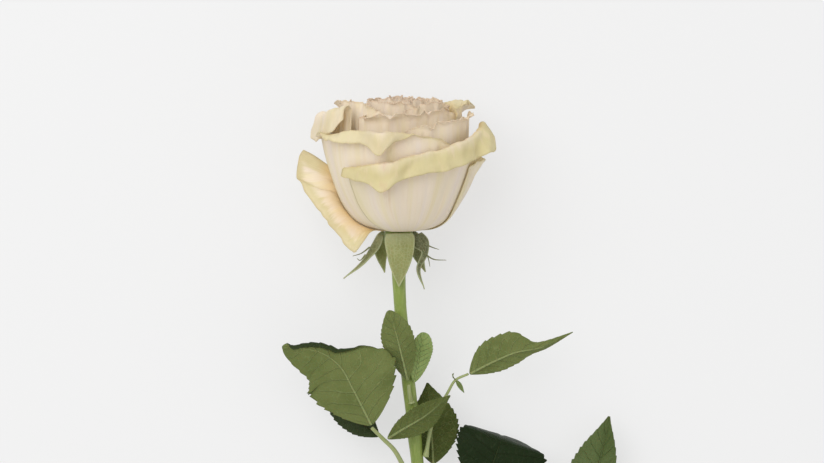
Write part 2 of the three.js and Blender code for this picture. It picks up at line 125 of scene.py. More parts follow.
class RoseStemSettings(bpy.types.PropertyGroup):
    """Stem, hip and prickles."""

    green: colour("Green", "Young upper stem", (0.225, 0.3, 0.055))
    old_green: colour("Old green", "Older lower stem", (0.12, 0.17, 0.045))
    streak: colour("Streak", "Pale streaks along the stem", (0.4, 0.45, 0.15))
    prickle: colour("Prickle", "Prickles' tips", (0.3, 0.1, 0.045))
    pith: colour("Pith", "The cut end", (0.62, 0.66, 0.42))


class RoseStageSettings(bpy.types.PropertyGroup):
    """Floor, lights and camera."""

    floor: colour("Floor", "Plain pale floor", (0.3, 0.3, 0.3))
    glow: number("Glow", "Light that the floor gives off", 0.565)
    camera_height: length("Camera height", "Camera above the table", 1.084)
    lens: number("Lens", "Focal length", 100, "CAMERA")
    sky: number("Sky", "Strength of the light from all round", 0.7)
    window: number("Soft box", "Power of the big soft light", 9, "POWER")
    fill: number("Fill", "Power of the fill light", 1.2, "POWER")


# ---- shader writing ----
class Field:
    """A number that varies over a surface. Arithmetic on it adds Math nodes to its material."""

    def __init__(self, paint, socket):
        self.paint = paint
        self.socket = socket

    def _math(self, operation, *values):
        made = self.paint.node("ShaderNodeMath", {"operation": operation}, values)
        return Field(self.paint, made.outputs[0])

    def __add__(self, other):
        return self._math("ADD", self, other)

    def __radd__(self, other):
        return self._math("ADD", other, self)

    def __sub__(self, other):
        return self._math("SUBTRACT", self, other)

    def __rsub__(self, other):
        return self._math("SUBTRACT", other, self)

    def __mul__(self, other):
        return self._math("MULTIPLY", self, other)

    def __truediv__(self, other):
        return self._math("DIVIDE", self, other)

    def size(self):
        return self._math("ABSOLUTE", self)

    def part(self):
        return self._math("FRACT", self)

    def band(self, start, end):
        """0 at start, 1 at end, eased between; start may be the larger."""
        settings = {"interpolation_type": "SMOOTHSTEP", "clamp": True}
        low, high, first, last = (start, end, 0, 1) if start < end else (end, start, 1, 0)
        made = self.paint.node("ShaderNodeMapRange", settings, [self, low, high, first, last])
        return Field(self.paint, made.outputs[0])


MIX_INPUTS = (0, 6, 7)  # a colour Mix node's factor and its two colours, by place
MIX_RESULT = 2


class Paint:
    """A material that is written with expressions."""

    def __init__(self, name, **shader):
        self.material = bpy.data.materials.new(name)
        self.material.use_nodes = True
        self.tree = self.material.node_tree
        self.shader = self.tree.nodes["Principled BSDF"]
        for socket, value in shader.items():
            self.shader.inputs[socket.replace("_", " ")].default_value = value

    def node(self, kind, settings=None, values=()):
        """Adds a node, sets it up, then fills its inputs from a list or from a dict of their names."""
        made = self.tree.nodes.new(kind)
        for key, value in (settings or {}).items():
            setattr(made, key, value)
        pairs = values.items() if isinstance(values, dict) else enumerate(values)
        for key, value in pairs:
            if isinstance(value, Field):
                value = value.socket
            if isinstance(value, bpy.types.NodeSocket):
                self.tree.links.new(value, made.inputs[key])
            elif value is not None:
                made.inputs[key].default_value = value
        return made

    def field(self, name):
        """A piece's own attribute."""
        return Field(self, self.node("ShaderNodeAttribute", {"attribute_name": name}).outputs["Fac"])

    def texture(self, kind, settings, stretch, uv, **values):
        """A texture on Object coordinates in metres, or on the piece's own map, stretched."""
        source = self.node("ShaderNodeTexCoord").outputs["UV" if uv else "Object"]
        vector = self.node("ShaderNodeMapping", None, {"Vector": source, "Scale": stretch}).outputs[0]
        values.update(Vector=vector, Scale=1)
        return Field(self, self.node(kind, settings, values).outputs[0])

    def noise(self, stretch, detail=2, roughness=0.5, uv=False):
        return self.texture("ShaderNodeTexNoise", None, stretch, uv, Detail=detail, Roughness=roughness)

    def cells(self, stretch):
        """How far each point is from the edge of its cell."""
        return self.texture("ShaderNodeTexVoronoi", {"feature": "DISTANCE_TO_EDGE"}, stretch, False)

    def mix(self, factor, first, second, blend="MIX"):
        """A colour between two: colours are tuples or what another mix gave."""
        settings = {"data_type": "RGBA", "blend_type": blend, "clamp_factor": True}
        first, second = (c if isinstance(c, bpy.types.NodeSocket) else (*c, 1) for c in (first, second))
        made = self.node("ShaderNodeMix", settings, dict(zip(MIX_INPUTS, (factor, first, second))))
        return made.outputs[MIX_RESULT]

    def layers(self, base, *coats):
        """Coats over a colour: how much of each, its colour, and a blend if it isn't a plain mix."""
        for amount, tint, *blend in coats:
            base = self.mix(amount, base, tint, *blend)
        return base

    def let_light_through(self, share, tint):
        """Some of the light passes through the sheet instead of being thrown back."""
        glow = self.node("ShaderNodeBsdfTranslucent", None, {"Color": (*tint, 1)})
        both = self.node("ShaderNodeMixShader", None, [share, self.shader.outputs[0], glow.outputs[0]])
        self.tree.links.new(both.outputs[0], self.tree.nodes["Material Output"].inputs[0])

    def finish(self, base, roughness, height, relief, strength):
        """Plugs in the colour, the roughness and a bump from a height; relief is metres."""
        bump = self.node("ShaderNodeBump", None, {"Height": height, "Distance": relief, "Strength": strength})
        self.tree.links.new(base, self.shader.inputs["Base Color"])
        self.tree.links.new(roughness.socket, self.shader.inputs["Roughness"])
        self.tree.links.new(bump.outputs[0], self.shader.inputs["Normal"])
        return self.material


# ---- making sheets and tubes ----
WAVE_COUNT = 4
CURVE_STEPS = 40  # points between two given ones
WELD_GAP = 2e-6
TUBE_CAP = 0.02  # share of a tube's rows that closes each end
CUT_FROM = 0.98  # share of a tube's length past which a slanting cut leans


def across(triple, u):
    """Values at the left edge, the middle and the right edge, joined by a parabola."""
    left, middle, right = triple
    return middle + (right - left) / 2 * u + ((left + right) / 2 - middle) * u * u


def mixed(first, last, share):
    return first + (last - first) * share


def ease(x, low, high):
    """0 at low and 1 at high, with a soft start and end."""
    t = np.clip((x - low) / (high - low), 0, 1)
    return t * t * (3 - 2 * t)


def waves(x, seed):
    """A smooth wandering line between about -1 and 1, the same on every run for one seed."""
    made = 0.0
    for k in range(1, WAVE_COUNT + 1):
        made = made + np.sin(x * (1.3 + 1.9 * k) + seed * (1.7 + k) * 2.399) / (0.6 + 0.55 * k)
    return made / 1.6


def unit(vectors):
    return vectors / np.maximum(np.linalg.norm(vectors, axis=-1, keepdims=True), 1e-12)


def between(t, start, end, first, last):
    """What lies between first and last as t goes from start to end."""
    return (end - t) / (end - start) * first + (t - start) / (end - start) * last


def curve_through(points, shares):
    """Points, on a smooth curve through the given ones, at shares of its length, with its directions."""
    points = np.array(points, float)
    before = points[0] * 2 - points[1]
    after = points[-1] * 2 - points[-2]
    guide = np.vstack([before, points, after])
    knots = np.concatenate([[0], np.cumsum(np.linalg.norm(np.diff(guide, axis=0), axis=1) ** 0.5)])
    dense = []
    for i in range(1, len(guide) - 2):
        t0, t1, t2, t3 = knots[i - 1 : i + 3]
        p0, p1, p2, p3 = guide[i - 1 : i + 3]
        t = np.linspace(t1, t2, CURVE_STEPS, endpoint=i == len(guide) - 3)[:, None]
        first, last = between(t, t0, t1, p0, p1), between(t, t2, t3, p2, p3)
        middle = between(t, t1, t2, p1, p2)
        pair = between(t, t0, t2, first, middle), between(t, t1, t3, middle, last)
        dense.append(between(t, t1, t2, *pair))
    dense = np.vstack(dense)
    run = np.concatenate([[0], np.cumsum(np.linalg.norm(np.diff(dense, axis=0), axis=1))])
    run /= run[-1]
    slopes = np.gradient(dense, run, axis=0)
    place, slope = (
        np.stack([np.interp(shares, run, values) for values in table.T], axis=-1) for table in (dense, slopes)
    )
    return place, unit(slope)


def read(piece, key):
    values = np.empty(len(piece.data.vertices) * 3)
    piece.data.vertices.foreach_get(key, values)
    return values.reshape(-1, 3)


def new_grid(name, columns, rows):
    """A flat grid and its u from -1 to 1 and v from 0 to 1 at every point."""
    bpy.ops.object.select_all(action="DESELECT")
    bpy.ops.mesh.primitive_grid_add(x_subdivisions=columns, y_subdivisions=rows, size=2)
    piece = bpy.context.object
    piece.name = piece.data.name = name
    flat = read(piece, "co")
    return piece, flat[:, 0], (flat[:, 1] + 1) / 2


def set_points(piece, points):
    piece.data.vertices.foreach_set("co", np.asarray(points, np.float32).ravel())
    piece.data.update()


def set_fields(piece, **fields):
    for name, values in fields.items():
        attribute = piece.data.attributes.get(name) or piece.data.attributes.new(name, "FLOAT", "POINT")
        count = len(piece.data.vertices)
        attribute.data.foreach_set("value", np.broadcast_to(np.asarray(values, np.float32), count).copy())


def thicken(piece, thickness):
    """Gives a sheet its thickness, half to each side, and marks what was its back with inside = 1."""
    count = len(piece.data.vertices)
    bpy.context.view_layer.objects.active = piece
    modifier = piece.modifiers.new("Solidify", "SOLIDIFY")
    modifier.thickness = thickness
    modifier.offset = 0
    bpy.ops.object.modifier_apply(modifier=modifier.name)
    points, normals = read(piece, "co"), read(piece, "normal")
    back = ((points[:count] - points[count:]) * normals[:count]).sum(1) < 0
    inside = np.zeros(len(points))
    inside[:count] = back
    inside[count:] = ~back
    set_fields(piece, inside=inside)


def smooth(piece):
    piece.data.polygons.foreach_set("use_smooth", [True] * len(piece.data.polygons))
    piece.data.update()


def weld(piece, fill=False):
    """Closes seams and poles, turns every face outwards and, if asked, fills the open end."""
    bpy.ops.object.select_all(action="DESELECT")
    piece.select_set(True)
    bpy.context.view_layer.objects.active = piece
    bpy.ops.object.mode_set(mode="EDIT")
    bpy.ops.mesh.select_all(action="SELECT")
    bpy.ops.mesh.remove_doubles(threshold=WELD_GAP)
    bpy.ops.mesh.normals_make_consistent(inside=False)
    if fill:
        bpy.ops.mesh.select_all(action="DESELECT")
        bpy.ops.mesh.select_mode(type="EDGE")
        bpy.ops.mesh.select_non_manifold()
        bpy.ops.mesh.edge_face_add()
        bpy.ops.mesh.select_mode(type="VERT")
    bpy.ops.object.mode_set(mode="OBJECT")


def join(pieces, name):
    """One mesh of several, under a new name."""
    bpy.ops.object.select_all(action="DESELECT")
    for piece in pieces:
        piece.select_set(True)
    bpy.context.view_layer.objects.active = pieces[0]
    if len(pieces) > 1:
        bpy.ops.object.join()
    pieces[0].name = pieces[0].data.name = name
    return pieces[0]


def hand_over(piece, slot, node, material):
    """The piece takes its material, stands for its CAD node and rides with the rose."""
    piece.data.materials.append(material)
    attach(piece, "root")
    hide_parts(node)


def tube(name, points, radius_at, sides, rows, to_place, slant=0.0):
    """A closed round solid along a curve; slant cuts its far end across at a slope."""
    piece, u, v = new_grid(name, sides, rows)
    along = np.clip((v - TUBE_CAP) / (1 - 2 * TUBE_CAP), 0, 1)
    closing = np.clip(np.minimum(v, 1 - v) / TUBE_CAP, 0, 1)
    place, direction = curve_through(points, along)
    side = unit(np.cross([0, 0, 1], direction))
    up = np.cross(direction, side)
    angle = math.pi * (u + 1)
    radius = radius_at(along) * closing
    out = side * np.cos(angle)[:, None] + up * np.sin(angle)[:, None]
    lean = np.where(along > CUT_FROM, slant * np.cos(angle) * radius, 0)
    set_points(piece, to_place(place + out * radius[:, None] + direction * lean[:, None]))
    set_fields(piece, along=along, cut=(v > 1 - TUBE_CAP) * 1.0)
    weld(piece)
    smooth(piece)
    return piece


def beside_rose(points):
    return ORIGIN + np.asarray(points) * MM


def beside_flower(points):
    return PETAL_BASE + np.asarray(points) * MM @ FLOWER_FRAME


# ---- petals ----
# A petal leaves the hip, bends up to the cup's wall at its radius and, at the height of its fold,
# its rim rolls outwards for the length of its tail. Azimuth 0 faces the sky and 90 is +X. flare is the
# slope in degrees that the rim ends at: 90 straight up, 0 level, -90 straight down. Triples are left
# edge, middle, right edge. lime and blush are how strongly its rim is tinted, lime_depth how far in
# the green reaches, crease_shade how wide and strong the painted warm shade of its crease is, and
# stain a brown line.
# tips are humps of its edge: place, length, width. calm is its share of the ruffle, foot its width at
# the hip and level the order that its root has, where these differ from the others'.
OUTER_PETALS = {
    "guard_left": dict(
        azimuth=-80, span=30, radius=34.4, fold=(26.5, 9.5, 3.6), tail=(26, 12.5, 19.5),
        flare=(30, -34, -56), roll=4.7, lime=1, lime_depth=5, crease_shade=2.7, blush=0.3, foot=1.4, level=2,
    ),
    "guard_right": dict(
        azimuth=112, span=46, radius=37.8, fold=(27, 24, 27), tail=(8, 11, 9), flare=(70, 50, 70), roll=10,
        lime=0.9, blush=0.1,
    ),
    "front": dict(
        azimuth=22, span=62, radius=36.8, fold=(30.5, 38, 49), tail=(10, 12.5, 16), flare=(-70, -80, -55),
        roll=1.7, lime=1, blush=0.1, stain=1, tips=((-0.5, 5, 0.14), (0.6, -1.5, 0.08), (0.86, 2, 0.1)),
    ),
    "face": dict(
        azimuth=-18, span=64, radius=35.2, fold=(41, 47, 41), tail=(3.5, 8, 1.5), flare=(80, -75, 60),
        roll=1.7, lime=0.75, blush=0.15, tips=((0.1, 6, 0.12), (-0.3, 1.5, 0.2), (0.6, -4, 0.25)),
    ),
    "back_right": dict(
        azimuth=168, span=50, radius=33.4, fold=(36, 42, 36), tail=(6, 9, 6), flare=(40, 10, 40), roll=5,
        lime=0.7, blush=0.1, calm=0.3,
    ),
    "back_left": dict(
        azimuth=-142, span=50, radius=33.2, fold=(38, 43, 36), tail=(6, 6, 3), flare=(30, 60, 88), roll=4,
        lime=0.6, blush=0.15, calm=0.6,
    ),
    "shoulder_left": dict(
        azimuth=-90, span=48, radius=31, fold=(48, 51, 57), tail=(6, 15.5, 17), flare=(-30, -72, -80),
        roll=2.6, lime=0.4, blush=0.2, tips=((0.2, 2, 0.15),),
    ),
    "shoulder_right": dict(
        azimuth=46, span=46, radius=32, fold=(44, 50, 50), tail=(4, 4, 6), flare=(60, 25, 20), roll=3,
        lime=0.3, blush=0.6,
    ),
    "nape": dict(
        azimuth=170, span=54, radius=29.6, fold=(48, 52, 48), tail=(5, 8, 5), flare=(30, 0, 30), roll=3.4,
        lime=0.3, blush=0.4,
    ),
    "ear_right": dict(
        azimuth=98, span=40, radius=28.6, fold=(50, 52, 51), tail=(6, 10, 9), flare=(40, 8, 15), roll=3.6,
        lime=0.9, blush=0.3,
    ),
    "brow": dict(
        azimuth=16, span=56, radius=27.4, fold=(50, 52, 50), tail=(5, 6, 5), flare=(35, 15, 30), roll=3.4,
        lime=0.25, blush=0.7, tips=((-0.4, 2, 0.15), (0.35, 1.5, 0.12)),
    ),
    "ear_left": dict(
        azimuth=-64, span=50, radius=25.8, fold=(52, 55, 52), tail=(5, 6, 5), flare=(55, 50, 60), roll=3.4,
        lime=0.4, blush=0.5,
    ),
}
RIM_COUNT = 3  # the first petals have broad green rims
HEART_COUNT = 14
PETAL_COUNT = len(OUTER_PETALS) + HEART_COUNT
GOLDEN_ANGLE = 137.5
OUTER_COLUMNS, HEART_COLUMNS = 72, 56
CUP_ROWS, WALL_ROWS, RIM_ROWS = 28, 8, 36
PETAL_ROWS = CUP_ROWS + WALL_ROWS + RIM_ROWS
# The cup's outline leaves the hip level for the shelf, turns tightly to the belly's slope, at least by
# its turn, over a share of the way out to the wall, then slowly until it stands upright.
BELLY_SLOPE, BELLY_TURN = math.radians(56), math.radians(10)
BELLY_REACH = 0.5
SHELF = 5
FOOT_WIDTH, WIDE_AT = 0.42, 0.46  # a petal's width at the hip, and the share of the cup where it is full
CUP_SHARE = 0.95  # of the outline's length up to a petal's fold, laid out by the cup's rows
CORNER_LOSS = 0.3  # how much shorter the rim is at a petal's sides
NICKED_FROM = 20  # petals that fold lower than this keep an even crease
WALL_FROM = 0.4  # share of a petal's length above which it hides what is behind
STAIN_AT, STAIN_WIDTH = -0.5, 0.03
FRILLED_RADIUS = 24  # petals nearer the flower's middle than this are frilled less
RIM_CLEARANCE = 1.2
SKYLINE_STEP = 5  # degrees


def heart_petal(n):
    """The tighter petals of the heart follow one spiral, each a little straighter than the last."""
    depth = n / (HEART_COUNT - 1)
    fold, tail, flare = mixed(53, 58.5, depth), mixed(7, 3.5, depth), mixed(10, 65, depth)
    return dict(
        azimuth=150 + GOLDEN_ANGLE * n,
        span=mixed(52, 92, depth),
        radius=mixed(24, 2.6, depth**0.85),
        fold=(fold - 2, fold, fold - 2),
        tail=(tail - 1, tail, tail - 1),
        flare=(flare + 12, flare, flare + 12),
        roll=mixed(3.6, 6, depth),
        lime=mixed(0.25, 0.1, depth),
        blush=mixed(0.8, 1, depth),
    )


def stretch(r, z, angle, run, turn):
    """One arc, or a straight stretch where turn is 0, of a petal's outline."""
    straight = np.abs(turn) < 1e-6
    bend = run / np.where(straight, 1, turn)
    arc_r = r + bend * (np.sin(angle + turn) - np.sin(angle))
    arc_z = z - bend * (np.cos(angle + turn) - np.cos(angle))
    return (
        np.where(straight, r + np.cos(angle) * run, arc_r),
        np.where(straight, z + np.sin(angle) * run, arc_z),
        angle + np.where(straight, 0, turn),
    )


class CupOutline:
    """The cup's outline, a shelf, a tight bend and a slow one, measured by length from the hip."""

    def __init__(self, order, radius):
        depth = order / (PETAL_COUNT - 1)
        slope = math.radians(mixed(4, 66, depth**1.4))
        self.shelf = SHELF * (1 - depth)
        self.start = (mixed(8, 1.4, depth), mixed(0, 13, depth), slope)
        self.bend = tuple(float(x) for x in stretch(*self.start, self.shelf, 0))
        root = self.bend[0]
        self.belly = max(BELLY_SLOPE, slope + BELLY_TURN)
        self.tight = BELLY_REACH * (radius - root) / (math.sin(self.belly) - math.sin(slope))
        bent = self.tight * (self.belly - slope)
        self.tight_length = self.shelf + bent
        self.middle = tuple(float(x) for x in stretch(*self.bend, bent, self.belly - slope))
        self.slow = (radius - self.middle[0]) / (1 - math.sin(self.belly))
        self.length = self.tight_length + self.slow * (math.pi / 2 - self.belly)
        self.top = self.middle[1] + self.slow * math.cos(self.belly)

    def at(self, s):
        level = stretch(*self.start, np.minimum(s, self.shelf), 0 * s)
        bent = np.clip(s - self.shelf, 0, self.tight_length - self.shelf)
        tight = stretch(*level, bent, bent / self.tight)
        turned = np.clip(s - self.tight_length, 0, self.length - self.tight_length)
        slow = stretch(*self.middle, turned, turned / self.slow)
        slow = stretch(*slow, np.maximum(0, s - self.length), 0 * s)
        return tuple(np.where(s < self.tight_length, a, b) for a, b in zip(tight, slow))

    def reach(self, height):
        """The length at which the outline is this high."""
        low, middle = self.start[1], self.middle[1]
        cosine = np.clip(math.cos(self.belly) - (height - middle) / self.slow, 0, math.cos(self.belly))
        slow = self.tight_length + self.slow * (np.arccos(cosine) - self.belly)
        tight = self.tight_length * np.clip((height - low) / (middle - low), 0.2, 1)
        below = np.where(height > middle, slow, tight)
        return np.where(height >= self.top, self.length + height - self.top, below)


class Skyline:
    """How high the petals made so far reach in every direction round the flower."""

    def __init__(self):
        self.heights = np.zeros(360 // SKYLINE_STEP)

    def bins(self, degrees):
        return np.round((degrees % 360) / SKYLINE_STEP).astype(int) % len(self.heights)

    def cover(self, degrees):
        return np.max([self.heights[self.bins(degrees + side * SKYLINE_STEP)] for side in (-1, 0, 1)], axis=0)

    def add(self, degrees, heights):
        np.maximum.at(self.heights, self.bins(degrees), heights)


def petal_points(petal, order, u, v, skyline, nicks):
    """Places of a petal's points in the flower's frame, in millimetres, and its fields."""
    outline = CupOutline(petal.get("level", order), petal["radius"])
    corner = 1 - CORNER_LOSS * np.abs(u) ** 6
    wander = nicks * (0.9 * waves(u * 2.6, order + 11) + 0.3 * waves(u * 8.5, order + 4))
    fold_at = outline.reach(across(petal["fold"], u) + wander * (min(petal["fold"]) > NICKED_FROM))
    tail = across(petal["tail"], u) * corner
    for middle, extra, width in petal.get("tips", ()):
        tail = tail + extra * np.exp(-(((u - middle) / width) ** 2))
    tail = tail + nicks * (waves(u * 3.1, order + 7) + 0.35 * waves(u * 7.3, order + 3))
    row = v * PETAL_ROWS
    cup_end = np.minimum(outline.length, fold_at) * CUP_SHARE
    s = cup_end * np.minimum(row / CUP_ROWS, 1)
    s = np.where(row > CUP_ROWS, mixed(cup_end, fold_at, (row - CUP_ROWS) / WALL_ROWS), s)
    rim_share = np.clip((row - CUP_ROWS - WALL_ROWS) / RIM_ROWS, 0, 1)
    s = np.where(rim_share > 0, fold_at + tail * rim_share, s)

    foot = petal.get("foot", FOOT_WIDTH)
    width = foot + (1 - foot) * np.sin(np.minimum(s / (WIDE_AT * outline.length), 1) * math.pi / 2)
    azimuth = petal["azimuth"] + petal["span"] * u * width
    hidden = skyline.cover(azimuth)
    clear = np.maximum(fold_at, outline.reach(hidden + RIM_CLEARANCE))
    roll_start = np.where(hidden > 0, clear, fold_at)

    fold = outline.at(np.minimum(s, roll_start))
    rolled = np.maximum(0, s - roll_start)
    full_turn = np.maximum(0, fold[2] - np.radians(across(petal["flare"], u)))
    rolling = np.minimum(rolled, full_turn * petal["roll"])
    turned = stretch(*fold, rolling, -rolling / petal["roll"])
    r, z, slope = stretch(*turned, rolled - rolling, 0 * s)
    edge = (1 - np.abs(u)) * np.radians(petal["span"]) * petal["radius"]
    off_stain = u - STAIN_AT + 0.012 * np.sin(s)
    fields = dict(
        rim=np.minimum(fold_at + tail - s, edge),
        base=s,
        crease=np.abs(s - roll_start),
        lime=petal["lime"],
        lime_depth=petal.get("lime_depth", 12),
        crease_shade=petal.get("crease_shade", 1),
        stain=petal.get("stain", 0) * ease(s, 20, 34) * np.exp(-((off_stain / STAIN_WIDTH) ** 2)),
        blush=petal["blush"],
    )
    return r, z, slope, azimuth, rim_share, rolled, fields


def shape_petal(name, petal, order, columns, skyline, settings):
    """A petal in its place; order sets its waves and counts inwards from the outermost."""
    piece, u, v = new_grid(name, columns, PETAL_ROWS)
    made = petal_points(petal, order, u, v, skyline, settings.nicks / MM)
    r, z, slope, azimuth, rim_share, rolled, fields = made
    upper = v > WALL_FROM
    skyline.add(azimuth[upper], z[upper])

    turn = np.radians(azimuth)
    dips = np.sin(3 * turn + z / 13 + 0.7) + 0.7 * np.sin(5 * turn - z / 9 + 2.1)
    sway = settings.sway / MM * ease(z, 4, 25) * dips
    petal_wave = ease(rolled, 0.5, 8) * waves(u * 3.1 + rim_share * 0.9, order + 1) * 1.25
    frill_size = (0.9 + 0.9 * petal["blush"]) * min(1, petal["radius"] / FRILLED_RADIUS)
    frill = rim_share**2 * waves(u * petal["span"] / 9, order + 5) * frill_size
    pleat = 0.34 * ease(z, 3, 20) * waves(u * 4.1, order + 2)
    ribs = 0.14 * ease(z, 6, 22) * waves(u * 12 + 0.02 * z, order + 8)
    wave = settings.ruffle / MM * petal.get("calm", 1) * (petal_wave + frill) + pleat + ribs
    r = r + sway + wave * np.sin(slope)
    z = z - wave * np.cos(slope) * (rolled > 0)
    set_points(piece, beside_flower(np.stack([r * np.sin(turn), -r * np.cos(turn), z], axis=-1)))
    set_fields(piece, **fields)
    thicken(piece, settings.petal_thickness)
    smooth(piece)
    return piece


def petal_paint(settings):
    paint = Paint("petal_skin", Specular_IOR_Level=0.2)
    paint.let_light_through(0.3, settings.glow)
    rim, base, crease = paint.field("rim"), paint.field("base"), paint.field("crease")
    inside, lime, blush = paint.field("inside"), paint.field("lime"), paint.field("blush")
    broad = paint.noise((60, 60, 60), 3)
    streaks = paint.noise((46, 3.2, 1), 4, 0.6, uv=True)
    fine = paint.noise((170, 7, 1), 2, 0.5, uv=True)
    long_streaks = paint.noise((11, 0.8, 1), 3, 0.55, uv=True)
    wander = (rim + (broad - 0.5) * 9 + (streaks - 0.5) * 6) / paint.field("lime_depth")
    lime_amount = lime * (inside * wander.band(1.2, 0.4) + (1 - inside) * wander.band(0.4, 0) * 0.35)
    blush_amount = blush * wander.band(0.8, 0.05) * (0.6 + inside * 0.3)
    # painted shade: the creases, the deep inner faces below the rims and the foot near the hip are painted a
    # warm amber where shade falls and light comes through the petals
    crease_shade = paint.field("crease_shade")
    crease_amount = ((crease + (streaks - 0.5) * 4) / crease_shade).band(4.5, 0.5) * (0.16 + crease_shade * 0.24)
    deep_shade = inside * rim.band(9, 26) * lime * base.band(46, 20)
    edge = (rim + (fine - 0.5) * 1.2).band(1.1, 0.1)
    brown = streaks.band(0.35, 0.6)
    veins = streaks * 0.7 + fine * 0.3
    colour_now = paint.layers(
        settings.cream,
        (broad.band(0.4, 0.75) * 0.6, settings.shade),
        (long_streaks.band(0.5, 0.66) * 0.9, settings.lilac),
        (long_streaks.band(0.5, 0.36) * 0.8, settings.butter),
        (lime_amount * 0.92, paint.mix(broad.band(0.35, 0.7), settings.lime, settings.moss)),
        (blush_amount, settings.blush),
        # painted shade in the creases and near the hip, then deep inside the cup
        (crease_amount * lime * inside + base.band(14, 2) * 0.22, settings.crease_shade),
        (deep_shade * 0.75, settings.crease_shade),
        (edge * lime * 0.55, settings.moss),
        (edge * blush * brown * 0.7, settings.rust),
        (paint.field("stain") * brown * 0.55, settings.rust),
        (streaks.band(0.52, 0.7) * 0.35, settings.vein),
        (veins.band(0.45, 0.75) * 0.18, settings.shade, "MULTIPLY"),
    )
    rough = 0.5 + (streaks - 0.5) * 0.2
    return paint.finish(colour_now, rough, veins + broad * 0.4, relief=0.0005, strength=0.7)


class ROSE_OT_petals(bpy.types.Operator):
    """Make the petals, from the outermost to the heart"""

    bl_idname = "rose.petals"
    bl_label = "Petals"

    def execute(self, context):
        settings = context.scene.rose_flower
        skin = petal_paint(settings)
        skyline = Skyline()
        rows = [(f"{name}_petal", name, petal, OUTER_COLUMNS) for name, petal in OUTER_PETALS.items()]
        for n in range(HEART_COUNT):
            rows.append((f"heart_petal_{n + 1}", f"heart_{n + 1}", heart_petal(n), HEART_COLUMNS))
        for order, (title, name, petal, columns) in enumerate(rows):
            piece = shape_petal(title, petal, order, columns, skyline, settings)
            slot = "petal" if order < len(OUTER_PETALS) else "heart_petal"
            hand_over(piece, "rim_petal" if order < RIM_COUNT else slot, f"petal_{name}", skin)
        return {"FINISHED"}


# ---- leaflets and sepals ----
# A blade grows along its midrib. face is the way its upper side looks. Its halves have their own
# widths. fold is how far they fold towards the upper side, in degrees at the base and at the tip, for
# both halves or for the left and then the right. widest is the share of the midrib where it is widest,
# waist what each half loses and between which shares, hem a strip of the left half that rolls under,
# point how blunt the tip is, and tone how lit the green is painted, from painted shade to painted
# light: top_tone where the upper side differs.
LEAFLETS = {
    "left_end": dict(
        midrib=[
            (-12.2, -88.6, 31.5), (-20.5, -72, 34.5), (-26.5, -61.5, 36), (-36, -55, 35), (-53, -52.8, 31),
        ],
        face=(0.1, 0.2, -1), left=24, right=20, fold=(4, 40, 4, 2), widest=0.45, point=0.65,
        waist=(0.62, 0, 0.38, 0.62), hem=3.6, tone=0.75, top_tone=0.08,
    ),
    "left_low": dict(
        midrib=[(-9, -94, 28.5), (-19, -86, 18), (-29, -75, 6), (-36, -64, -1.2)], face=(-0.35, -0.1, 1),
        left=9.5, right=11, fold=(8, 5), widest=0.5, point=0.8, tone=0.1,
    ),
    "left_high": dict(
        midrib=[(-4.6, -94.8, 31.5), (2, -90.5, 34), (12, -84.5, 34.5), (23.8, -75.2, 31)],
        face=(0, 0.1, -1), left=6.5, right=6, fold=(6, 6), widest=0.5, tone=0.38,
    ),
    "top_end": dict(
        midrib=[(4.4, -68, 29.8), (1.6, -56, 34), (-1.2, -45, 37), (-4.2, -36, 36)], face=(0.15, 0.1, -1),
        left=7.6, right=8, fold=(14, 10), widest=0.58, point=0.7, tone=0.75,
    ),
    "top_side": dict(
        midrib=[(7.4, -69.6, 27.6), (9, -61.6, 28.6), (10.2, -54, 29.4), (12.2, -46.4, 29.5)],
        face=(0.3, -0.1, 1), left=5, right=6.6, fold=(10, 10, -20, -10), widest=0.6, point=0.45, tone=1,
    ),
    "right_end": dict(
        midrib=[(33, -65.2, 29.3), (43.5, -59.6, 32), (54, -55.2, 33), (66, -52.8, 33), (80, -46, 31)],
        face=(0.05, 0.35, -1), left=6.5, right=10.5, fold=(10, 24), widest=0.32,
        waist=(0.5, 0.62, 0.45, 0.66), tone=0.8,
    ),
    "right_bud_1": dict(
        midrib=[(26.6, -68.2, 28.3), (28.0, -70.2, 28.7), (29.3, -72.3, 28.8), (30.4, -74.2, 28.8)],
        face=(0.3, 0.2, 1), left=1.1, right=1.1, fold=(0, 0), widest=0.4, tone=0.7,
    ),
    "right_bud_2": dict(
        midrib=[(26.3, -68.3, 28.2), (25.3, -66.8, 29.4), (25, -66, 30.4), (25.4, -65, 31.2)],
        face=(-1, 0.1, 0.4), left=0.8, right=0.8, fold=(0, 0), widest=0.4, tone=0.7,
    ),
    "shade_end": dict(
        midrib=[(16.4, -108, 16.5), (15.6, -94, 14.5), (14.8, -82, 12.8), (13.6, -70.6, 12.4)],
        face=(0.05, 0, -1), left=13, right=10, fold=(-8, -8, 6, 4), widest=0.45, tone=0.2,
    ),
    "low_left": dict(
        midrib=[
            (39, -122, 17), (41.6, -114, 20), (44.4, -106, 21),
            (47.6, -97, 19.5), (48.4, -95, 13), (48, -95.4, 6),
        ],
        face=(0.2, 0.6, 1), left=20, right=23.5, fold=(5, -2, -4, -6), widest=0.6, tone=0.02,
    ),
    "low_right": dict(
        midrib=[(38.5, -130.5, 14.5), (47, -144, 11), (55, -157, 4.5), (62, -170, -1.3)],
        face=(0.1, -0.2, 1), left=12, right=12, fold=(5, -5), widest=0.45, tone=0.15,
    ),
    "low_end": dict(
        midrib=[(82.5, -134, 12.5), (90, -119, 14), (95, -103, 12.5), (98.6, -86.4, 10)],
        face=(-0.35, 0, 1), left=13, right=10, fold=(10, 16), widest=0.42, tone=0.35,
    ),
}
